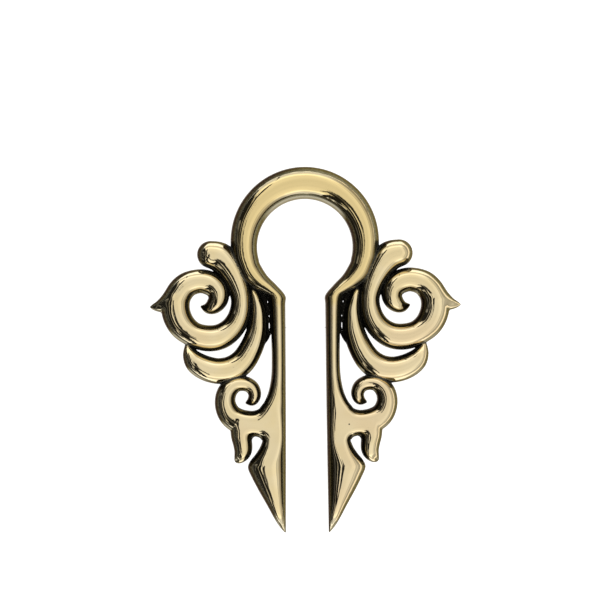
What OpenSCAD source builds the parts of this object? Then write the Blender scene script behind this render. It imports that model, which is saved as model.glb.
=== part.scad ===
// Keyhole ear weight: a brass casting in one piece. A ring with a slot below it slips
// over a stretched ear lobe, and two pointed legs with scrollwork wings hang from the
// ring. The casting lies on its flat back with its domed front up. The origin is at
// the middle of its length and width, on the back, with the points of the legs at -Y.

/* [Keyhole] */
// Outside diameter of the ring
ring_d = 23.2; // [22.6:0.1:24]
// Diameter of the round opening
opening_d = 14.9; // [14.3:0.1:15.5]
// Distance of the opening's centre below the ring's centre
opening_drop = 0.9; // [0.7:0.05:1.1]
// Width of the slot between the legs, at its top
slot_w = 6.2; // [5.8:0.1:6.6]
// How much wider the slot is at the points of the legs
slot_flare = 0.5; // [0:0.1:0.8]
// Distance from the ring's centre to the points of the legs
leg_length = 45.6; // [44.5:0.1:46.5]

/* [Thickness] */
// Thickness of the ring and the legs
thickness = 5; // [4:0.1:6]
// Crown height of the large scrolls
scroll_height = 4.6; // [3.6:0.1:5.6]
// Crown height of the leaves
leaf_height = 4.3; // [3.4:0.1:5.4]
// Crown height of the small scrolls and their tabs
curl_height = 4.5; // [3.5:0.1:5.5]
// Crown height of the webs between the leaves' roots and the legs
web_height = 2.4; // [1.6:0.1:3.2]

/* [Section] */
// Height above the back at which a section is widest
edge_height = 1.4; // [1:0.1:1.8]
// How full the dome is: 2 is an ellipse, and more is squarer
fullness = 2.5; // [2:0.1:3]
// Rounding where the flat back meets the sides
back_round = 0.9; // [0.5:0.1:1.2]

/* [Smoothness] */
// Sections from one row of a table to the next
steps = 2; // [1:1:2]
// Sides of a section's dome
dome_sides = 8; // [4:2:8]

/* [Hidden] */
brass = "#c9a862";

// The tables hold the right half of the casting, measured from the ring's centre, and
// each stroke has a section at each row. The last column is the section's share of the
// stroke's full height.
X = 0;
Y = 1;

// Columns of a stroke that is drawn along its middle: its middle, and half its width
HALF = 2;
SHARE = 3;

// Columns of a stroke that is drawn between two edges: a point on the inner edge, and
// one on the outer edge
INNER = [0, 1];
OUTER = [2, 3];
BETWEEN_SHARE = 4;

// Columns of the leg: how far it is below the ring's centre, and its width
DEPTH = 0;
WIDTH = 1;
LEG_SHARE = 2;

// The band follows the two circles from the top of the ring round to here, in degrees
band_turn = 105;
band_rows = 9;

// The neck brings the band in to the leg, drawn between its edges
neck_rows = [
    [7.00, -3.55, 10.0, -5.80, 1],
    [5.90, -5.35, 8.40, -7.20, 1],
    [4.45, -6.85, 6.70, -8.10, 1]
];

// The leg goes straight down, widens where the small scroll joins it and again into
// the blade, and ends in a point
leg_rows = [
    [8.5, 2.80, 1.00],
    [10.0, 2.42, 1.00],
    [14.0, 2.28, 1.00],
    [18.0, 2.22, 1.00],
    [21.0, 2.30, 1.00],
    [23.4, 2.72, 1.00],
    [25.0, 3.36, 0.99],
    [26.3, 4.26, 0.98],
    [27.6, 4.46, 0.98],
    [29.3, 4.04, 0.98],
    [30.8, 3.68, 0.98],
    [32.0, 4.00, 0.98],
    [33.2, 4.72, 0.98],
    [34.4, 5.66, 0.98],
    [35.4, 5.96, 0.98],
    [36.9, 5.34, 0.96],
    [39.0, 4.24, 0.92],
    [41.2, 2.98, 0.84],
    [43.2, 1.88, 0.68],
    [44.7, 0.92, 0.42],
    [45.6, 0.12, 0.22]
];

// The stem beside the ring turns into the large scroll, which ends in a curl
scroll_rows = [
    [16.82, -1.90, 0.20, 0.40],
    [16.45, -1.85, 1.20, 0.78],
    [15.60, -1.75, 1.80, 0.96],
    [14.55, -1.95, 2.10, 1.00],
    [13.20, -2.50, 2.34, 1.00],
    [11.80, -4.10, 2.15, 1.00],
    [10.60, -6.50, 1.85, 1.00],
    [10.00, -9.00, 1.62, 1.00],
    [10.30, -11.5, 1.72, 1.00],
    [11.45, -13.5, 1.85, 1.00],
    [13.30, -14.8, 2.00, 1.00],
    [15.45, -15.05, 2.05, 1.00],
    [17.60, -14.4, 1.98, 1.00],
    [19.35, -12.95, 2.16, 1.00],
    [20.25, -10.8, 2.24, 1.00],
    [20.00, -8.60, 2.12, 1.00],
    [18.70, -6.85, 2.00, 1.00],
    [16.70, -6.15, 1.88, 1.00],
    [14.95, -6.45, 1.88, 1.00],
    [13.75, -7.45, 1.76, 1.00],
    [13.55, -8.80, 1.58, 0.98],
    [14.15, -9.85, 1.34, 0.92],
    [15.10, -10.35, 0.88, 0.80],
    [16.20, -10.12, 0.20, 0.50]
];

// The row, counted from 0, at which the stem turns into the scroll
scroll_start = 12;

// Size of the scroll's root, as a share of the stem around it
root_share = 0.8;

// The thorn stands out from the large scroll
thorn_rows = [
    [20.60, -9.40, 1.60, 0.90],
    [21.80, -9.75, 1.28, 0.84],
    [22.80, -10.0, 0.88, 0.66],
    [23.60, -10.1, 0.50, 0.46],
    [24.35, -10.1, 0.08, 0.24]
];

// The leaf is a crescent that grows from between the stem and the leg
leaf_rows = [
    [8.70, -6.20, 0.30, 0.60],
    [7.90, -8.40, 0.72, 0.90],
    [7.40, -10.6, 1.18, 0.97],
    [7.42, -12.7, 1.45, 1.00],
    [7.75, -14.6, 1.68, 1.00],
    [8.55, -16.7, 1.85, 1.00],
    [9.85, -18.7, 2.00, 1.00],
    [11.6, -19.9, 2.08, 1.00],
    [13.6, -20.2, 2.02, 1.00],
    [15.5, -19.8, 1.95, 1.00],
    [17.1, -18.9, 1.72, 1.00],
    [18.0, -17.7, 1.20, 0.96],
    [18.4, -16.4, 0.55, 0.80]
];

// The web closes the gap between the leaf's root and the leg
web_rows = [
    [7.50, -6.90, 0.60, 0.90],
    [6.60, -8.40, 0.90, 1.00],
    [5.95, -10.2, 0.80, 1.00],
    [5.78, -12.4, 0.70, 1.00],
    [5.74, -14.4, 0.60, 1.00],
    [5.62, -15.5, 0.25, 0.90]
];

// The small scroll grows from the leg and ends in a curl under the leaf
curl_rows = [
    [5.30, -28.35, 1.95, 1.00],
    [7.90, -28.45, 2.00, 1.00],
    [10.3, -28.15, 1.95, 1.00],
    [11.9, -27.1, 1.80, 1.00],
    [12.65, -25.3, 1.64, 1.00],
    [12.35, -23.5, 1.52, 1.00],
    [11.1, -22.35, 1.26, 0.98],
    [9.60, -22.2, 1.16, 0.96],
    [8.45, -22.8, 1.10, 0.95],
    [8.03, -23.9, 1.00, 0.92],
    [8.40, -24.85, 0.80, 0.85],
    [9.30, -25.2, 0.22, 0.55]
];

// The tab hangs from the small scroll
tab_rows = [
    [10.3, -28.6, 1.60, 0.95],
    [10.28, -30.2, 1.54, 0.95],
    [10.0, -31.5, 1.50, 0.93],
    [9.92, -32.6, 1.38, 0.90],
    [10.2, -33.4, 1.10, 0.84],
    [10.65, -34.0, 0.66, 0.70],
    [11.1, -34.3, 0.12, 0.45]
];

// How far down the slot a depth is, from 0 at its top to 1 at the points
function down_slot(depth) =
    let (slot_top = leg_rows[0][DEPTH], slot_end = leg_rows[len(leg_rows) - 1][DEPTH])
    (depth - slot_top) / (slot_end - slot_top);

// The leg's edges at a row, the inner one being the side of the slot
function leg_edges(row) =
    let (
        slot_end = leg_rows[len(leg_rows) - 1][DEPTH],
        side = slot_w / 2 + slot_flare / 2 * pow(down_slot(row[DEPTH]), 2),
        y = -row[DEPTH] * leg_length / slot_end
    )
    [side, y, side + row[WIDTH], y, row[LEG_SHARE]];

// The edges of the ring's band, turned from the top by an angle
function band_edges(turn) =
    let (
        way = [sin(turn), cos(turn)],
        outer = way * ring_d / 2,
        inner = way * opening_d / 2 - [0, opening_drop]
    )
    [inner[X], inner[Y], outer[X], outer[Y], 1];

// The edges of a stroke that is drawn along its middle
function edges(rows) =
    [
        for (i = [0 : len(rows) - 1])
            let (
                row = rows[i],
                ahead = rows[min(i + 1, len(rows) - 1)] - rows[max(i - 1, 0)],
                across = [ahead[Y], -ahead[X]] * row[HALF] / norm([ahead[X], ahead[Y]])
            )
            [row[X] - across[X], row[Y] - across[Y], row[X] + across[X], row[Y] + across[Y],
                row[SHARE]]
    ];

function mirrored(row) =
    [-row[INNER[X]], row[INNER[Y]], -row[OUTER[X]], row[OUTER[Y]], row[BETWEEN_SHARE]];

// A row's edges brought in towards their middle, and its height, to a share of their size
function shrunk(row, share) =
    let (
        inner = [row[INNER[X]], row[INNER[Y]]],
        outer = [row[OUTER[X]], row[OUTER[Y]]],
        middle = (inner + outer) / 2,
        near = middle + (inner - middle) * share,
        far = middle + (outer - middle) * share
    )
    [near[X], near[Y], far[X], far[Y], row[BETWEEN_SHARE] * share];

// A row between b and c on the smooth curve through a, b, c and d
function between(a, b, c, d, t) =
    (2 * b + (c - a) * t
        + (2 * a - 5 * b + 4 * c - d) * t * t
        + (3 * b - a - 3 * c + d) * t * t * t) / 2;

// The rows of a table, with more rows between them
function smoothed(rows) =
    let (last = len(rows) - 1)
    [
        for (i = [0 : last - 1], k = [0 : steps - 1])
            between(rows[max(i - 1, 0)], rows[i], rows[i + 1], rows[min(i + 2, last)], k / steps),
        rows[last]
    ];

// A power that keeps the sign of its base
function raised(base, power) = sign(base) * pow(abs(base), power);

// A section's outline: across the stroke, and up from the back
function section(half, height) =
    let (
        round_w = min(back_round, half / 2),
        widest = min(edge_height, height / 2),
        round_h = min(back_round, widest),
        // A rounded corner's middle point lies this share of the radius off both sides
        corner = 1 - sqrt(0.5)
    )
    concat(
        [
            [round_w - half, 0],
            [half - round_w, 0],
            [half - round_w * corner, round_h * corner]
        ],
        [
            for (i = [0 : dome_sides])
                let (a = 180 * i / dome_sides)
                [half * raised(cos(a), 2 / fullness),
                    widest + (height - widest) * raised(sin(a), 2 / fullness)]
        ],
        [[round_w * corner - half, round_h * corner]]
    );

// A domed stroke between two edges
module stroke(rows, crown) {
    last = len(rows) - 1;
    sides = len(section(1, 1));
    points = [
        for (row = rows)
            let (
                inner = [row[INNER[X]], row[INNER[Y]]],
                outer = [row[OUTER[X]], row[OUTER[Y]]],
                half = norm(outer - inner) / 2
            )
            for (p = section(half, crown * row[BETWEEN_SHARE]))
                let (place = (inner + outer) / 2 + (outer - inner) * p[0] / (2 * half))
                [place[X], place[Y], p[1]]
    ];
    faces = concat(
        [[for (k = [sides - 1 : -1 : 0]) k]],
        [
            for (i = [0 : last - 1], k = [0 : sides - 1])
                let (next = (k + 1) % sides)
                [i * sides + k, i * sides + next, (i + 1) * sides + next, (i + 1) * sides + k]
        ],
        [[for (k = [0 : sides - 1]) last * sides + k]]
    );
    polyhedron(points, faces);
}

// A domed stroke along the smooth curve through a table's rows
module curved(rows, crown) {
    stroke(edges(smoothed(rows)), crown);
}

// The ring and both legs are one stroke, from the right point over the top to the left
module keyhole() {
    band = [for (i = [0 : band_rows]) band_edges(band_turn * i / band_rows)];
    leg = [for (row = leg_rows) leg_edges(row)];
    half = smoothed(concat(band, neck_rows, leg));
    right = [for (i = [len(half) - 1 : -1 : 1]) half[i]];
    left = [for (row = half) mirrored(row)];
    stroke(concat(right, left), thickness);
}

// The curl comes back to the stem, so that the stem and the scroll are two strokes. They
// meet at one section, and the scroll's root is inside the stem
module large_scroll() {
    rows = edges(smoothed(scroll_rows));
    meet = scroll_start * steps;
    root = shrunk(rows[meet - 1], root_share);
    stroke([for (i = [0 : meet]) rows[i]], scroll_height);
    stroke(concat([root], [for (i = [meet : len(rows) - 1]) rows[i]]), scroll_height);
    curved(thorn_rows, scroll_height);
}

module leaf() {
    curved(leaf_rows, leaf_height);
}

module web() {
    curved(web_rows, web_height);
}

module small_scroll() {
    curved(curl_rows, curl_height);
    curved(tab_rows, curl_height);
}

module wing() {
    large_scroll();
    leaf();
    web();
    small_scroll();
}

module ear_weight() {
    centre_y = (leg_length - ring_d / 2) / 2;
    color(brass)
        translate([0, centre_y, 0]) {
            keyhole();
            wing();
            mirror([1, 0, 0])
                wing();
        }
}

ear_weight();
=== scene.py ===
import math

import bpy
import numpy as np
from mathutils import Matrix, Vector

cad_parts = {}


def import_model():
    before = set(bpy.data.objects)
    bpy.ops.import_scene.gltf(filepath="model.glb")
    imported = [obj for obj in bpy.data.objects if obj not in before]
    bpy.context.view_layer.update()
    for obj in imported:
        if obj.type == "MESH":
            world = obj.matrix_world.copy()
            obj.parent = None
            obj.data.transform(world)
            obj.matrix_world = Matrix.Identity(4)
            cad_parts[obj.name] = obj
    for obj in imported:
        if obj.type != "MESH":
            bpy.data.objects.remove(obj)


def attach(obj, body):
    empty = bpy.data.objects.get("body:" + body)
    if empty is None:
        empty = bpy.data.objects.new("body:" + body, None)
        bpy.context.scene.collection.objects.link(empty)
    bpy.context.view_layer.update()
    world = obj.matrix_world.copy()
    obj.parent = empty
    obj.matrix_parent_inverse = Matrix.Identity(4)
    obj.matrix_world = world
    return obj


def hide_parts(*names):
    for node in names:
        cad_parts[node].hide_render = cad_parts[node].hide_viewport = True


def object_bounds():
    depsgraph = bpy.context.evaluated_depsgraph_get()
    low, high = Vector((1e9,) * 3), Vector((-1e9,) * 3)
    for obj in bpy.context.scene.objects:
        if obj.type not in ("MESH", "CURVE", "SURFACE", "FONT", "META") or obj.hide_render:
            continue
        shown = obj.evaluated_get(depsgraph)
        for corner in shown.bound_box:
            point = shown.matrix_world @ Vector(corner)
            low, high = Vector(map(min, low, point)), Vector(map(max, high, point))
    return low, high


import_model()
cad_low, cad_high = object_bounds()

# The casting is worked out in millimetres, and its mesh is made in metres
MM = 0.001

# Driving sizes, as the frame has them
RING_D = 23.2
OPENING_D = 14.9
OPENING_DROP = 0.9
SLOT_W = 6.2
SLOT_FLARE = 0.5
LEG_LENGTH = 45.6
THICKNESS = 5.0
SCROLL_HEIGHT = 4.6
LEAF_HEIGHT = 4.3
CURL_HEIGHT = 4.5
WEB_HEIGHT = 2.4
EDGE_HEIGHT = 1.4
BACK_ROUND = 0.7
FULLNESS = 2.5

# The ring's centre, up from the origin
RING_Y = cad_high.y / MM - RING_D / 2

# Pitch of the grid that the casting's field is worked out on, and how far the grid and
# each stroke's field reach past the metal
PITCH = 0.13
REACH = 0.6
FAR = 3.0

# Distance between the points of a smooth curve
SPACING = 0.03

# Triangles of the finished mesh
MOST_TRIANGLES = 190_000

# The neck brings the ring's band in to the leg: a point on the inner edge, one on the
# outer edge, and the share of the full height
NECK_ROWS = [
    (7.00, -3.55, 10.0, -5.80, 1),
    (5.90, -5.35, 8.40, -7.20, 1),
    (4.45, -6.85, 6.70, -8.10, 1),
]

# The leg: how far it is below the ring's centre, its width, and its share of the height
LEG_ROWS = [
    (8.5, 2.80, 1.00),
    (10.0, 2.42, 1.00),
    (14.0, 2.28, 1.00),
    (18.0, 2.22, 1.00),
    (21.0, 2.30, 1.00),
    (23.4, 2.72, 1.00),
    (25.0, 3.36, 0.99),
    (26.3, 4.26, 0.98),
    (27.6, 4.46, 0.98),
    (29.3, 4.04, 0.98),
    (30.8, 3.68, 0.98),
    (32.0, 4.00, 0.98),
    (33.2, 4.72, 0.98),
    (34.4, 5.66, 0.98),
    (35.4, 5.96, 0.98),
    (36.9, 5.34, 0.96),
    (39.0, 4.24, 0.92),
    (41.2, 2.98, 0.84),
    (43.2, 1.88, 0.68),
    (44.7, 0.92, 0.42),
    (45.6, 0.12, 0.22),
]

# The other strokes are drawn along their middle: where it is across and up from the
# ring's centre, half its width, and its share of the height. The stem beside the ring
# turns into the large scroll, which ends in a curl.
SCROLL_ROWS = [
    (14.72, -1.98, 2.13, 1.00),
    (13.20, -2.50, 2.34, 1.00),
    (11.80, -4.10, 2.15, 1.00),
    (10.60, -6.50, 1.85, 1.00),
    (10.00, -9.00, 1.62, 1.00),
    (10.30, -11.5, 1.72, 1.00),
    (11.45, -13.5, 1.85, 1.00),
    (13.30, -14.8, 2.00, 1.00),
    (15.45, -15.05, 2.05, 1.00),
    (17.60, -14.4, 1.98, 1.00),
    (19.35, -12.95, 2.16, 1.00),
    (20.25, -10.8, 2.24, 1.00),
    (20.00, -8.60, 2.12, 1.00),
    (18.70, -6.85, 2.00, 1.00),
    (16.70, -6.15, 1.88, 1.00),
    (14.95, -6.45, 1.88, 1.00),
    (13.75, -7.45, 1.76, 1.00),
    (13.55, -8.80, 1.58, 0.98),
    (14.15, -9.85, 1.34, 0.92),
    (15.10, -10.35, 0.88, 0.80),
    (16.20, -10.12, 0.20, 0.50),
]

# The thorn stands out of the large scroll's outer side
THORN_ROWS = [
    (20.60, -9.40, 1.60, 0.92),
    (21.80, -9.75, 1.28, 0.84),
    (22.80, -10.0, 0.88, 0.73),
    (23.60, -10.1, 0.50, 0.61),
    (24.25, -10.1, 0.08, 0.48),
]

# The leaf is a crescent that grows from between the stem and the leg
LEAF_ROWS = [
    (8.70, -6.20, 0.30, 0.60),
    (7.90, -8.40, 0.72, 0.90),
    (7.40, -10.6, 1.18, 0.97),
    (7.42, -12.7, 1.45, 1.00),
    (7.75, -14.6, 1.68, 1.00),
    (8.55, -16.7, 1.85, 1.00),
    (9.85, -18.7, 2.00, 1.00),
    (11.6, -19.9, 2.08, 1.00),
    (13.6, -20.2, 2.02, 1.00),
    (15.5, -19.8, 1.95, 1.00),
    (17.1, -18.9, 1.72, 1.00),
    (18.0, -17.7, 1.20, 0.96),
    (18.4, -16.4, 0.55, 0.80),
]

# The web closes the gap between the leaf's root and the leg
WEB_ROWS = [
    (7.50, -6.90, 0.60, 0.90),
    (6.60, -8.40, 0.90, 1.00),
    (6.00, -10.2, 0.80, 1.00),
    (5.85, -12.4, 0.66, 1.00),
    (5.90, -13.8, 0.60, 1.00),
    (6.20, -15.0, 0.50, 1.00),
    (6.70, -16.0, 0.30, 0.95),
    (7.20, -16.9, 0.10, 0.80),
]

# The small scroll grows from the leg and ends in a curl under the leaf
CURL_ROWS = [
    (6.60, -28.50, 1.70, 1.06),
    (8.20, -28.50, 1.95, 1.05),
    (10.3, -28.15, 1.95, 1.02),
    (11.9, -27.1, 1.80, 1.00),
    (12.65, -25.3, 1.64, 1.00),
    (12.35, -23.5, 1.52, 1.00),
    (11.1, -22.35, 1.26, 0.98),
    (9.60, -22.2, 1.16, 0.96),
    (8.45, -22.8, 1.10, 0.95),
    (8.03, -23.9, 1.00, 0.92),
    (8.40, -24.85, 0.80, 0.85),
    (9.30, -25.2, 0.22, 0.55),
]

# The tab hangs from the small scroll
TAB_ROWS = [
    (10.3, -28.6, 1.60, 1.00),
    (10.28, -30.2, 1.54, 0.98),
    (10.0, -31.5, 1.50, 0.95),
    (9.92, -32.6, 1.38, 0.90),
    (10.2, -33.4, 1.10, 0.84),
    (10.65, -34.0, 0.66, 0.70),
    (11.1, -34.3, 0.12, 0.45),
]

# The ring's band follows its two circles from just past its top round to here, in degrees
BAND_START = -4
BAND_TURN = 105
BAND_ROWS = 21

# How far two strokes run into each other where they only touch, and over what distance
# the skin of the ring and the leg gives way to the skin beside them
CREVICE = 0.12
FADE = 1.0

# The thorn runs smoothly out of the scroll at its top and stands off it in a ledge below.
# The small scroll flows into the leg at its root only. Both change between two heights.
THORN_TURN = (-10.7, -9.2)
THORN_FLOWS = (0.25, 0.95)
ROOT_TURN = (-26.6, -25.6)
ROOT_FLOWS = (1.5, 0.12)

# The tab flows out of the small scroll on its inner side, and meets it in a corner on its
# outer side. That changes between two places across the piece.
TAB_TURN = (10.5, 11.3)
TAB_FLOWS = (1.0, 0.15)

# The leg and what grows from it are flat across at this height, this far below the
# ring's centre, and less so above and below
PLATE_HEIGHT = 4.45
PLATE_DEPTH = 29.0
PLATE_BEND = 0.02
PLATE_SOFT = 0.35

# Slits in the web, where it is thinnest: across, top and bottom
SLITS = [(5.88, -9.35, -9.60), (5.70, -11.6, -11.8), (5.68, -12.8, -14.0)]
SLIT_W = 0.15

# What stands for far outside a stroke, and the least size, slope and length to divide by
OUTSIDE = 9
LEAST_SIZE = 1e-4
LEAST_SLOPE = 1e-3
LEAST = 1e-6

# How often a point is moved towards the skin, and the longest move, in millimetres
MOVES = 3
LONGEST_MOVE = 0.1

# The metal near a point of the skin is averaged over cubes that reach this many steps of
# the grid, around a place this many steps above the skin
NEAR_STEPS = 5
WIDE_STEPS = 12
ABOVE_STEPS = 2

# The grid's lines, with the right half of the casting on x above 0
xs = np.arange(0.5 * PITCH, cad_high.x / MM + REACH, PITCH)
ys = np.arange(-LEG_LENGTH - REACH, RING_D / 2 + REACH, PITCH)
zs = np.arange(-3 * PITCH, THICKNESS + REACH, PITCH)


def smoothed(rows):
    """Rows on the smooth curve through a table's rows, SPACING apart."""
    rows = np.array(rows, float)
    ends = np.vstack([rows[:1], rows, rows[-1:]])
    found = []
    for a, b, c, d in zip(ends, ends[1:], ends[2:], ends[3:]):
        count = math.ceil(np.linalg.norm((c - b)[:2]) / SPACING)
        t = (np.arange(count) / count)[:, None]
        found.append(
            (
                2 * b
                + (c - a) * t
                + (2 * a - 5 * b + 4 * c - d) * t**2
                + (3 * b - a - 3 * c + d) * t**3
            )
            / 2
        )
    return np.vstack(found + [rows[-1:]])


def span(lines, low, high):
    """The slice of a grid's lines from low to high."""
    return slice(*np.searchsorted(lines, (low, high)))


def blank():
    """Across each point of the grid: how far off a stroke's middle it is, as a share of half
    its width, that half width, and the stroke's height there."""
    shape = (len(xs), len(ys))
    return np.full(shape, np.inf), np.ones(shape), np.ones(shape)


def along_middle(rows, crown):
    """A stroke that is a round dab at each point of its middle line."""
    off, half, height = blank()
    for x, y, w, share in smoothed(rows):
        area = (span(xs, x - w - REACH, x + w + REACH), span(ys, y - w - REACH, y + w + REACH))
        away = np.hypot(xs[area[0], None] - x, ys[None, area[1]] - y) / w
        closer = away < off[area]
        off[area][closer] = away[closer]
        half[area][closer] = w
        height[area][closer] = share * crown
    return off, half, height


def between_edges(rows, crown):
    """A stroke that is drawn between two edges, with straight sections across it."""
    off, half, height = blank()
    sections = []
    for x0, y0, x1, y1, share in rows:
        w = math.hypot(x1 - x0, y1 - y0) / 2
        middle = ((x0 + x1) / 2, (y0 + y1) / 2)
        along = ((x1 - x0) / 2 / w, (y1 - y0) / 2 / w)
        sections.append((*middle, *along, w, share))
    for one, two in zip(sections, sections[1:]):
        widest = max(w for *_, w, _ in (one, two))
        reach = widest + 2 * REACH
        area = (
            span(xs, min(one[0], two[0]) - reach, max(one[0], two[0]) + reach),
            span(ys, min(one[1], two[1]) - reach, max(one[1], two[1]) + reach),
        )
        gx, gy = xs[area[0], None], ys[None, area[1]]
        sides = []
        for x, y, ax, ay, w, share in (one, two):
            ahead = (gx - x) * ay - (gy - y) * ax
            sides.append((ahead, ((gx - x) * ax + (gy - y) * ay) / w, w, share))
        (e0, u0, w0, s0), (e1, u1, w1, s1) = sides
        part = e0 / np.where(e0 - e1 == 0, 1, e0 - e1)
        u = np.abs(u0 + (u1 - u0) * part)
        w = w0 + (w1 - w0) * part
        closer = (e0 >= 0) & (e1 < 0) & (u < off[area]) & (u * w < w + 2 * REACH)
        off[area][closer] = u[closer]
        half[area][closer] = w[closer]
        height[area][closer] = ((s0 + (s1 - s0) * part) * crown)[closer]
    return off, half, height


def field(stroke):
    """About how far each point of the grid is outside a stroke's skin, in millimetres."""
    off, half, height = stroke
    inside = np.isfinite(off)
    u = np.where(inside, off, OUTSIDE)[..., None].astype(np.float32)
    w = half[..., None].astype(np.float32)
    h = height[..., None].astype(np.float32)
    z = zs[None, None, :].astype(np.float32)
    widest = np.minimum(EDGE_HEIGHT, h / 2)
    v = np.maximum(z - widest, 0) / (h - widest)
    size = (u**FULLNESS + v**FULLNESS) ** (1 / FULLNESS) + LEAST_SIZE
    steep = np.hypot((u / size) ** (FULLNESS - 1) / w, (v / size) ** (FULLNESS - 1) / (h - widest))
    dome = (size - 1) / np.maximum(steep, LEAST_SLOPE)
    corner = np.minimum(BACK_ROUND, widest)
    out = (u - 1) * w + corner
    down = corner - z
    side = np.hypot(np.maximum(out, 0), np.maximum(down, 0)) + np.minimum(np.maximum(out, down), 0)
    return np.minimum(np.where(z > widest, dome, side - corner), FAR)


def joined(a, b, flow):
    """The field of two strokes whose metal flows together over this distance."""
    near = np.maximum(flow - np.abs(a - b), 0) / flow
    return np.minimum(a, b) - near**2 * flow / 4


def up_piece(heights, flows):
    """A flow that changes from one to the other between two heights."""
    return np.interp(ys, heights, flows)[:, None]


def across_piece(places, flows):
    """A flow that changes from one to the other between two places across the piece."""
    return np.interp(xs, places, flows)[:, None, None]


def cut(a, b, soft):
    """The field of what is inside both, with the edge between them this soft."""
    return -joined(-a, -b, soft)


def band_edges(turn):
    """A row across the ring's band, this far round from its top."""
    outer = np.array([math.sin(turn), math.cos(turn)])
    inner = outer * OPENING_D / 2 - (0, OPENING_DROP)
    return (*inner, *(outer * RING_D / 2), 1)


def leg_edges(depth, width, share):
    """A row across the leg, this far below the ring's centre."""
    down_slot = (depth - LEG_ROWS[0][0]) / (LEG_ROWS[-1][0] - LEG_ROWS[0][0])
    side = SLOT_W / 2 + SLOT_FLARE / 2 * down_slot**2
    return (side, -depth, side + width, -depth, share)


def keyhole():
    """The ring and the leg."""
    turns = np.radians(np.linspace(BAND_START, BAND_TURN, BAND_ROWS))
    rows = [band_edges(t) for t in turns] + NECK_ROWS + [leg_edges(*row) for row in LEG_ROWS]
    return field(between_edges(smoothed(rows), THICKNESS))


def half_casting():
    """The field of the casting's right half, and where the ring and the leg are its skin."""
    leg = keyhole()
    scroll = joined(
        field(along_middle(SCROLL_ROWS, SCROLL_HEIGHT)),
        field(along_middle(THORN_ROWS, SCROLL_HEIGHT)),
        up_piece(THORN_TURN, THORN_FLOWS),
    )
    curl = field(along_middle(CURL_ROWS, CURL_HEIGHT))
    tab = field(along_middle(TAB_ROWS, CURL_HEIGHT))
    lower = np.minimum(
        joined(leg, curl, up_piece(ROOT_TURN, ROOT_FLOWS)),
        joined(curl, tab, across_piece(TAB_TURN, TAB_FLOWS)),
    )
    ceiling = PLATE_HEIGHT + PLATE_BEND * (ys + PLATE_DEPTH) ** 2
    lower = cut(lower, zs - ceiling[:, None], PLATE_SOFT)
    leaf = field(along_middle(LEAF_ROWS, LEAF_HEIGHT))
    web = field(along_middle(WEB_ROWS, WEB_HEIGHT))
    metal = lower
    for more in (scroll, leaf, web):
        metal = joined(metal, more, CREVICE)
    for x, top, bottom in SLITS:
        beside = np.hypot(xs[:, None] - x, ys - np.clip(ys, bottom, top))
        metal = np.maximum(metal, SLIT_W / 2 - beside[..., None])
    others = np.minimum(np.minimum(scroll, leaf), np.minimum(np.minimum(curl, tab), web))
    keyhole_skin = np.clip(0.5 + (others - leg) / FADE, 0, 1)
    return np.maximum(metal, -zs), keyhole_skin


def sample(values, points):
    """A grid's values at points, given in steps of the grid."""
    base = np.clip(np.floor(points).astype(int), 0, np.array(values.shape[:3]) - 2)
    part = points - base
    found = 0
    for corner in np.ndindex(2, 2, 2):
        share = np.prod(np.where(corner, part, 1 - part), axis=1)
        at = tuple((base + corner).T)
        found = found + (values[at] * share if values.ndim == 3 else values[at] * share[:, None])
    return found


def surface_net(values):
    """Points and four-sided faces on a field's skin, in steps of the grid."""
    inside = values < 0
    shape = np.array(values.shape)
    strides = np.array([shape[1] * shape[2], shape[2], 1])
    cells, places, quads = [], [], []
    for axis in range(3):
        low = [slice(None)] * 3
        high = [slice(None)] * 3
        low[axis] = slice(None, -1)
        high[axis] = slice(1, None)
        crossed = inside[tuple(low)] != inside[tuple(high)]
        start = np.argwhere(crossed)
        a = values[tuple(low)][crossed]
        b = values[tuple(high)][crossed]
        place = start.astype(float)
        place[:, axis] += a / (a - b)
        near, far = [k for k in range(3) if k != axis]
        around = []
        for back_near, back_far in ((0, 0), (1, 0), (1, 1), (0, 1)):
            cell = start.copy()
            cell[:, near] -= back_near
            cell[:, far] -= back_far
            around.append(cell @ strides)
            places.append(place)
        cells += around
        ring = np.stack(around, axis=1)
        turned = (a < 0) == (axis == 1)
        ring[turned] = ring[turned][:, ::-1]
        quads.append(ring)
    cells = np.concatenate(cells)
    places = np.concatenate(places)
    names, index = np.unique(cells, return_inverse=True)
    count = np.bincount(index)
    points = np.stack([np.bincount(index, places[:, k]) / count for k in range(3)], axis=1)
    return points, np.searchsorted(names, np.concatenate(quads))


def onto_skin(points, values, slope):
    """The points moved onto the field's skin, and the directions out of it."""
    for _ in range(MOVES):
        out = sample(slope, points)
        size = np.maximum((out**2).sum(axis=1), LEAST)
        move = np.clip(sample(values, points), -LONGEST_MOVE, LONGEST_MOVE) / size
        points = points - out * move[:, None]
    out = sample(slope, points)
    return points, out / np.maximum(np.linalg.norm(out, axis=1), LEAST)[:, None]


def blurred(values, radius):
    """Each point's average over a cube that reaches this many steps each way."""
    for axis in range(3):
        edge = [(0, 0)] * 3
        edge[axis] = (radius + 1, radius)
        total = np.cumsum(np.pad(values, edge, mode="edge"), axis=axis, dtype=np.float64)
        size = values.shape[axis]
        width = 2 * radius + 1
        high = np.take(total, range(width, width + size), axis=axis)
        low = np.take(total, range(size), axis=axis)
        values = ((high - low) / width).astype(np.float32)
    return values


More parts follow.
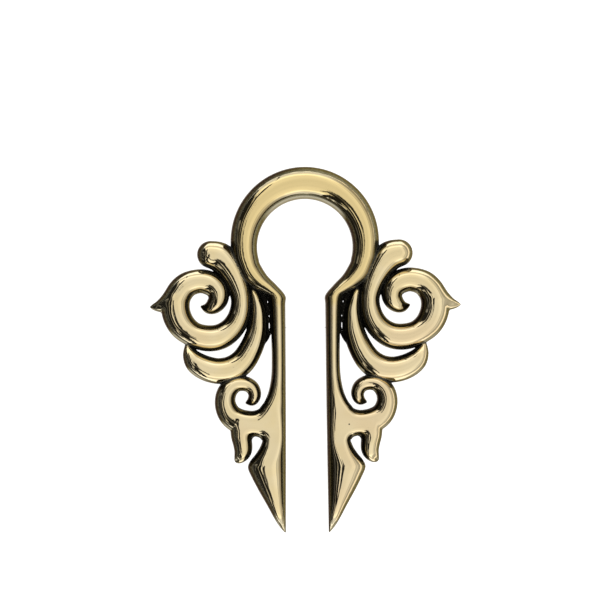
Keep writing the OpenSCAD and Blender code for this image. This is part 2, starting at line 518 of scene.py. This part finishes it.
def casting():
    """The whole casting as one mesh, with what its material needs to know of each point."""
    right, band = half_casting()
    values = np.concatenate([right[::-1], right]).astype(np.float32)
    band = np.concatenate([band[::-1], band]).astype(np.float32)
    slope = np.stack(np.gradient(values), axis=-1).astype(np.float32)
    points, quads = surface_net(values)
    points, _ = onto_skin(points, values, slope)
    mesh = bpy.data.meshes.new("casting")
    mesh.from_pydata(points, [], quads)
    ob = bpy.data.objects.new("casting", mesh)
    bpy.context.scene.collection.objects.link(ob)
    thin = ob.modifiers.new("thin", "DECIMATE")
    thin.ratio = min(1, MOST_TRIANGLES / (2 * len(quads)))
    dg = bpy.context.evaluated_depsgraph_get()
    ob.data = bpy.data.meshes.new_from_object(ob.evaluated_get(dg))
    ob.modifiers.clear()
    mesh = ob.data
    mesh.name = "casting"
    points = np.zeros(len(mesh.vertices) * 3, np.float32)
    mesh.vertices.foreach_get("co", points)
    points, out = onto_skin(points.reshape(-1, 3).astype(float), values, slope)
    metal = np.clip(0.5 - values / PITCH, 0, 1)
    above = points + out * ABOVE_STEPS
    shades = {
        "band": sample(band, points),
        "near": sample(blurred(metal, NEAR_STEPS), above),
        "wide": sample(blurred(metal, WIDE_STEPS), above),
    }
    place = points * PITCH
    place[:, 0] += -xs[-1]
    place[:, 1] += ys[0] + RING_Y
    place[:, 2] += zs[0]
    mesh.vertices.foreach_set("co", (place * MM).astype(np.float32).ravel())
    mesh.update()
    for polygon in mesh.polygons:
        polygon.use_smooth = True
    mesh.normals_split_custom_set_from_vertices(out)
    for name, shade in shades.items():
        attribute = mesh.attributes.new(name, "FLOAT", "POINT")
        attribute.data.foreach_set("value", shade.astype(np.float32))
    return ob


# Where a Mix node has the sockets of its colours
MIX_INPUTS = (0, 6, 7)
MIX_OUTPUT = 2


class Nodes:
    """Adds nodes to a tree, and links what is given to their inputs."""

    def __init__(self, tree):
        self.tree = tree

    def add(self, kind, settings=None, **inputs):
        node = self.tree.nodes.new(kind)
        for name, value in (settings or {}).items():
            setattr(node, name, value)
        for name, value in inputs.items():
            self.put(node.inputs[name.replace("_", " ")], value)
        return node

    def put(self, socket, value):
        if isinstance(value, bpy.types.NodeSocket):
            self.tree.links.new(value, socket)
        else:
            socket.default_value = value

    def vectors(self, operation, one, two):
        node = self.add("ShaderNodeVectorMath", {"operation": operation})
        self.put(node.inputs[0], one)
        self.put(node.inputs[1], two)
        return node

    def maths(self, operation, *values):
        node = self.tree.nodes.new("ShaderNodeMath")
        node.operation = operation
        for socket, value in zip(node.inputs, values):
            self.put(socket, value)
        return node.outputs[0]

    def step(self, value, low, high, start=0.0, end=1.0):
        node = self.tree.nodes.new("ShaderNodeMapRange")
        node.interpolation_type = "SMOOTHSTEP"
        for socket, number in zip(node.inputs, (value, low, high, start, end)):
            self.put(socket, number)
        return node.outputs[0]

    def mix(self, share, one, two):
        node = self.tree.nodes.new("ShaderNodeMix")
        node.data_type = "RGBA"
        for place, value in zip(MIX_INPUTS, (share, one, two)):
            self.put(node.inputs[place], value)
        return node.outputs[MIX_OUTPUT]


# Colours of the polished brass. The crowns are pale with deeper and rosier clouds, and
# richer on the ring. The rims have a painted cream highlight, and a painted bronze
# reflection where they face right.
PALE = (0.920, 0.770, 0.470, 1)
DEEP = (0.900, 0.735, 0.410, 1)
ROSY = (0.880, 0.700, 0.430, 1)
RICH = (0.885, 0.690, 0.315, 1)
CREAM = (0.90, 0.82, 0.60, 1)
BRONZE = (0.56, 0.42, 0.22, 1)

# Colours of the painted shade on the steep sides, each from its darker to its lighter grains:
# brown, and black as a painted shadow where they face left. The side of a hole that faces
# down the piece has a painted grey reflection.
BROWNS = ((0.135, 0.118, 0.068, 1), (0.205, 0.182, 0.105, 1))
BLACKS = ((0.035, 0.031, 0.020, 1), (0.075, 0.066, 0.044, 1))
GREY = (0.46, 0.43, 0.33, 1)

# Colours of the patina: a film where a crevice starts, and soot with paler flecks deep in
# it
FILM = (0.125, 0.115, 0.085, 1)
SOOT = (0.006, 0.006, 0.005, 1)
FLECK = (0.075, 0.070, 0.055, 1)

# Noises, by the number of their waves in a metre
GRAIN_SCALE = 4200.0
LUMP_SCALE = 900.0
WAVE_SCALE = 420.0
CLOUD_SCALE = 230.0
HUE_SCALE = 120.0

# Where one look fades into the next, from and to. These are places, in metres: away from
# the ring's centre, up the piece, away from the slot's middle, and away from the pit.
RING_EDGE = (0.0115, 0.0125)
BLADE_TOP = (-0.010, -0.006)
BLADE_INSIDE = (0.0042, 0.0050)
PIT_EDGE = (0.00008, 0.00017)

# These are how far the skin faces up, which is 1 on the flat and 0 on an upright side
SIDE_SHADE_UP = (0.42, 0.50)
RIM_UP = (0.52, 0.68)
GREY_UP = (0.42, 0.56)

# These are how far it faces right, or up the piece for the grey
LEFT_RIM_SIDE = (-0.70, 0.0)
RIGHT_RIM_SIDE = (0.10, 0.60)
BROWN_SIDE = (-0.45, 0.25)
BRONZE_SIDE = (0.15, 0.50)
GREY_SIDE = (-0.75, -0.45)

# These are levels of a noise, or shares of metal around a place just above the skin
CLOUDS = (0.35, 0.65)
HUES = (0.50, 0.72)
GRAINS = (0.35, 0.65)
FLECKS = (0.56, 0.70)
SMEARS = (0.48, 0.70)
FILM_NEAR = (0.39, 0.50)
SOOT_NEAR = (0.50, 0.60)
SOOT_WIDE = (0.50, 0.64)

# How much of a colour shows at most
RICH_SHARE = 0.9
ROSY_SHARE = 0.7
RIM_SHARE = 0.62

# The painted side shade starts on gentler slopes along the ring and the legs, and on the
# sides that face left and right: how much gentler, and the weight of the left and right sides
RIM_DROP = 0.23
LEFT_WEIGHT = 1.3
RIGHT_WEIGHT = 0.55

# How much the noises move the edge of the painted side shade and of the patina
SIDE_SHADE_LUMPS = 0.08
PATINA_GRAIN = 0.20
PATINA_LUMPS = 0.08

# Roughness of the polish and of the patina, and what the steep sides and smears add to it
POLISH_ROUGH = 0.035
PATINA_ROUGH = 0.5
STEEP_ROUGH = 0.16
SMEAR_ROUGH = 0.035

# How metallic the patina is, and how far the steep sides go towards it
PATINA_METAL = 0.15
STEEP_DULL = 0.2

# Bumps: the casting's soft waves, with the waves' share against the lumps, and the grain
# of the patina, with the share of it that the polish keeps. Depths are in metres.
WAVE_SHARE = 3.0
WAVE_DEPTH = 0.000009
GRAIN_DEPTH = 0.00006
POLISH_GRAIN = 0.02

# The polish's reflections at grazing angles
GRAZING_LEVEL = 0.25
GRAZING_TINT = (0.35, 0.30, 0.22, 1)

# A pit in the flat of the right leg, as a place in the model
PIT = (6.66 * MM, (RING_Y - 28.6) * MM, 4.42 * MM)


def brass():
    """Polished cast brass, with dark patina in the crevices, painted shade on the steep sides and
    a painted highlight on their rims.
    """
    material = bpy.data.materials.new("brass")
    material.use_nodes = True
    tree = material.node_tree
    tree.nodes.clear()
    n = Nodes(tree)
    place = n.add("ShaderNodeTexCoord")
    where = place.outputs["Object"]
    facing = n.add("ShaderNodeSeparateXYZ", Vector=place.outputs["Normal"]).outputs
    spot = n.add("ShaderNodeSeparateXYZ", Vector=where).outputs

    def attribute(name):
        return n.add("ShaderNodeAttribute", {"attribute_name": name}).outputs["Fac"]

    def noise(scale, detail):
        return n.add("ShaderNodeTexNoise", Vector=where, Scale=scale, Detail=detail).outputs["Fac"]

    def around(value, size):
        return n.maths("MULTIPLY", n.maths("SUBTRACT", value, 0.5), size)

    grain = noise(GRAIN_SCALE, 2.0)
    lumps = noise(LUMP_SCALE, 2.0)
    cloud = noise(CLOUD_SCALE, 2.0)
    hue = noise(HUE_SCALE, 1.0)

    # The polished brass
    from_ring = n.vectors("DISTANCE", where, (0, RING_Y * MM, 0)).outputs["Value"]
    gold = n.mix(n.step(cloud, *CLOUDS), PALE, DEEP)
    gold = n.mix(n.step(hue, *HUES, 0.0, ROSY_SHARE), gold, ROSY)
    gold = n.mix(n.step(from_ring, *RING_EDGE, RICH_SHARE, 0.0), gold, RICH)

    # How steep the skin is, as the painted side shade counts it
    low = n.step(spot["Y"], *BLADE_TOP, 1.0, 0.0)
    blade = n.maths("MULTIPLY", low, n.step(n.maths("ABSOLUTE", spot["X"]), *BLADE_INSIDE))
    keyhole_rim = n.maths("MULTIPLY", attribute("band"), n.maths("SUBTRACT", 1.0, blade))
    left_rim = n.step(facing["X"], *LEFT_RIM_SIDE, LEFT_WEIGHT, 0.0)
    right_rim = n.step(facing["X"], *RIGHT_RIM_SIDE, 0.0, RIGHT_WEIGHT)
    rim = n.maths("MAXIMUM", n.maths("MAXIMUM", keyhole_rim, left_rim), right_rim)
    tilt = n.maths("ADD", facing["Z"], around(lumps, SIDE_SHADE_LUMPS))
    tilt = n.maths("SUBTRACT", tilt, n.maths("MULTIPLY", rim, RIM_DROP))
    steep = n.step(tilt, *SIDE_SHADE_UP, 1.0, 0.0)

    # The painted shade on the steep sides: brown, a painted black shadow where they face left,
    # and a painted grey reflection on the sides of holes that face down the piece
    grains = n.step(grain, *GRAINS)
    black = n.mix(grains, *BLACKS)
    side_shade = n.mix(n.step(facing["X"], *BROWN_SIDE), black, n.mix(grains, *BROWNS))
    downward = n.step(facing["Y"], *GREY_SIDE, 1.0, 0.0)
    under = n.maths("MULTIPLY", downward, n.step(facing["Z"], *GREY_UP, 1.0, 0.0))
    side_shade = n.mix(n.maths("MULTIPLY", under, rim), side_shade, GREY)
    # The painted highlight along the rims: cream, and a painted bronze reflection facing right
    rim_highlight = n.mix(n.step(facing["X"], *BRONZE_SIDE), CREAM, BRONZE)
    gold = n.mix(n.step(tilt, *RIM_UP, RIM_SHARE, 0.0), gold, rim_highlight)
    # The steep sides take the painted shade
    colour = n.mix(steep, gold, side_shade)

    # The patina
    speckle = n.maths("ADD", around(grain, PATINA_GRAIN), around(lumps, PATINA_LUMPS))
    dirt = n.maths("ADD", attribute("near"), speckle)
    film = n.step(dirt, *FILM_NEAR)
    deep_in = n.step(n.maths("ADD", attribute("wide"), speckle), *SOOT_WIDE)
    soot = n.maths("MAXIMUM", n.step(dirt, *SOOT_NEAR), deep_in)
    colour = n.mix(film, colour, FILM)
    colour = n.mix(soot, colour, n.mix(n.step(grain, *FLECKS), SOOT, FLECK))
    from_pit = n.vectors("DISTANCE", where, PIT).outputs["Value"]
    # A dark dot in the colour where the right leg has a pit; the mesh has no pit there
    colour = n.mix(n.step(from_pit, *PIT_EDGE, 1.0, 0.0), colour, black)

    dull = n.maths("MAXIMUM", film, soot)
    side_dulling = n.maths("MULTIPLY", steep, STEEP_DULL)
    metal = n.step(n.maths("MAXIMUM", dull, side_dulling), 0.0, 1.0, 1.0, PATINA_METAL)
    rough = n.step(dull, 0.0, 1.0, POLISH_ROUGH, PATINA_ROUGH)
    rough = n.maths("ADD", rough, n.maths("MULTIPLY", steep, STEEP_ROUGH))
    rough = n.maths("ADD", rough, n.step(cloud, *SMEARS, 0.0, SMEAR_ROUGH))

    waves = n.maths("ADD", n.maths("MULTIPLY", noise(WAVE_SCALE, 1.0), WAVE_SHARE), lumps)
    bump = n.add("ShaderNodeBump", None, Height=waves, Strength=1.0, Distance=WAVE_DEPTH)
    pits = n.maths("MULTIPLY", grain, n.maths("ADD", dull, POLISH_GRAIN))
    bump = n.add(
        "ShaderNodeBump",
        None,
        Height=pits,
        Strength=1.0,
        Distance=GRAIN_DEPTH,
        Normal=bump.outputs[0],
    )
    shader = n.add(
        "ShaderNodeBsdfPrincipled",
        None,
        Base_Color=colour,
        Roughness=rough,
        Metallic=metal,
        Specular_IOR_Level=GRAZING_LEVEL,
        Specular_Tint=GRAZING_TINT,
        Normal=bump.outputs[0],
    )
    out = n.add("ShaderNodeOutputMaterial")
    tree.links.new(shader.outputs[0], out.inputs["Surface"])
    return material


# The studio's light, by how high it comes from: height, and level
LEVELS = [
    (0.0, 0.60),
    (0.12, 0.72),
    (0.37, 0.82),
    (0.45, 1.32),
    (0.57, 1.28),
    (0.67, 0.97),
    (0.90, 0.93),
    (0.99, 0.82),
]

# The studio is dark towards the left. Its dark side is a wedge that reaches this much less
# far right for each step up or down the piece, with ragged ends, and fades over this.
DARK_EDGE = (-0.085, -0.035)
WEDGE_SLOPE = 0.68
WEDGE_DOWN = -0.55
WEDGE_RAGGED = 2.2

# The noise that makes the wedge ragged and breaks the strips: how it is stretched
STRETCH = (7.0, 1.2, 0.0)
STRETCH_DETAIL = 1.5

# The noise that bends the strips and shades the light
DRIFT_SCALE = 1.7
DRIFT_LEVELS = (0.35, 0.65)
DRIFT_SHADES = (0.96, 1.07)

# The light low on the right is dimmer: how far right, how high, and by how much
RIGHT_PLACE = (0.20, 0.60)
RIGHT_HEIGHT = (0.62, 0.74)
RIGHT_DIM = 0.45

# The strips of light in the dark side: how close they are, how far the drift bends them,
# how sharp, how they fade towards the left, how they are broken, and the light between them
STRIP_TURNS = 19.0
STRIP_BEND = 13.0
STRIP_EDGE = (0.42, 0.88)
STRIP_PLACE = (-1.0, -0.30)
STRIP_LEVELS = (0.14, 1.10)
STRIP_BREAKS = (0.40, 0.60)
STRIP_LEAST = 0.06
DARK_LEVEL = 0.014


def set_stops(ramp, levels):
    """Sets a colour ramp to grey levels at these places."""
    for stop, (place, level) in zip((ramp.elements[0], ramp.elements[1]), (levels[0], levels[-1])):
        stop.position = place
        stop.color = (level, level, level, 1)
    for place, level in levels[1:-1]:
        ramp.elements.new(place).color = (level, level, level, 1)


def world():
    """A white studio, with a dark side on the left that shows a few thin strips of light."""
    made = bpy.data.worlds.new("studio")
    bpy.context.scene.world = made
    made.use_nodes = True
    tree = made.node_tree
    tree.nodes.clear()
    n = Nodes(tree)
    where = n.add("ShaderNodeTexCoord").outputs["Generated"]
    parts = n.add("ShaderNodeSeparateXYZ", Vector=where).outputs
    x, y, z = parts["X"], parts["Y"], parts["Z"]
    stretched = n.vectors("MULTIPLY", where, STRETCH).outputs[0]
    strips = n.add("ShaderNodeTexNoise", Vector=stretched, Scale=1.0, Detail=STRETCH_DETAIL)
    strips = strips.outputs["Fac"]
    drift = n.add("ShaderNodeTexNoise", Vector=where, Scale=DRIFT_SCALE, Detail=1.0).outputs["Fac"]

    # Where the studio is lit
    aside = n.maths("MAXIMUM", y, n.maths("MULTIPLY", y, WEDGE_DOWN))
    ragged = n.maths("MULTIPLY", n.maths("SUBTRACT", strips, 0.5), WEDGE_RAGGED)
    slope = n.maths("ADD", WEDGE_SLOPE, ragged)
    edge = n.maths("ADD", x, n.maths("MULTIPLY", aside, slope))
    lit = n.step(edge, *DARK_EDGE)

    # The light of its lit part
    level = n.add("ShaderNodeValToRGB", Fac=z)
    set_stops(level.color_ramp, LEVELS)
    rightward = n.maths("MULTIPLY", n.step(x, *RIGHT_PLACE), n.step(z, *RIGHT_HEIGHT, 1.0, 0.0))
    shade = n.step(drift, *DRIFT_LEVELS, *DRIFT_SHADES)
    shade = n.maths("SUBTRACT", shade, n.maths("MULTIPLY", rightward, RIGHT_DIM))
    light = n.maths("MULTIPLY", n.maths("MULTIPLY", lit, level.outputs["Color"]), shade)

    # The strips of light in its dark part
    turn = n.maths("MULTIPLY", x, STRIP_TURNS)
    turn = n.maths("ADD", turn, n.maths("MULTIPLY", drift, STRIP_BEND))
    lines = n.step(n.maths("SINE", turn), *STRIP_EDGE)
    strength = n.step(x, *STRIP_PLACE, *STRIP_LEVELS)
    broken = n.step(strips, *STRIP_BREAKS, STRIP_LEAST, 1.0)
    bright = n.maths("MULTIPLY", n.maths("MULTIPLY", lines, strength), broken)
    dark = n.maths("ADD", bright, DARK_LEVEL)
    dark = n.maths("MULTIPLY", dark, n.maths("SUBTRACT", 1.0, lit))

    strength = n.maths("ADD", light, dark)
    background = n.add("ShaderNodeBackground", None, Color=(1, 1, 1, 1), Strength=strength)
    out = n.add("ShaderNodeOutputWorld")
    tree.links.new(background.outputs[0], out.inputs["Surface"])


def floor():
    """A plain white floor, which glows so that its white doesn't depend on the dark side."""
    half_side = 2.0
    grey = (0.6, 0.6, 0.6, 1)
    roughness = 0.6
    white = (1, 1, 1, 1)
    signs = ((-1, -1), (1, -1), (1, 1), (-1, 1))
    mesh = bpy.data.meshes.new("floor")
    mesh.from_pydata([(x * half_side, y * half_side, 0) for x, y in signs], [], [(0, 1, 2, 3)])
    ob = bpy.data.objects.new("floor", mesh)
    bpy.context.scene.collection.objects.link(ob)
    material = bpy.data.materials.new("floor")
    material.use_nodes = True
    shader = material.node_tree.nodes["Principled BSDF"]
    shader.inputs["Base Color"].default_value = grey
    shader.inputs["Roughness"].default_value = roughness
    shader.inputs["Emission Color"].default_value = white
    shader.inputs["Emission Strength"].default_value = 1.0
    mesh.materials.append(material)


def camera():
    """Straight above the piece, as far off as the photo's flat perspective shows."""
    roll = math.radians(-0.5)
    distance = 700.0
    frame_width = 93.75
    middle = (-0.83, 7.79)
    sensor = 36.0
    nearest = 0.01
    farthest = 10.0
    data = bpy.data.cameras.new("camera")
    data.sensor_width = sensor
    data.lens = sensor * (distance - EDGE_HEIGHT) / frame_width
    data.clip_start = nearest
    data.clip_end = farthest
    ob = bpy.data.objects.new("camera", data)
    ob.location = (middle[0] * MM, middle[1] * MM, distance * MM)
    ob.rotation_euler = (0, 0, roll)
    bpy.context.scene.collection.objects.link(ob)
    bpy.context.scene.camera = ob


camera()
floor()
world()
piece = casting()
piece.data.materials.append(brass())
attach(piece, "root")
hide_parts("ear_weight")

bpy.context.scene.view_settings.view_transform = "Standard"
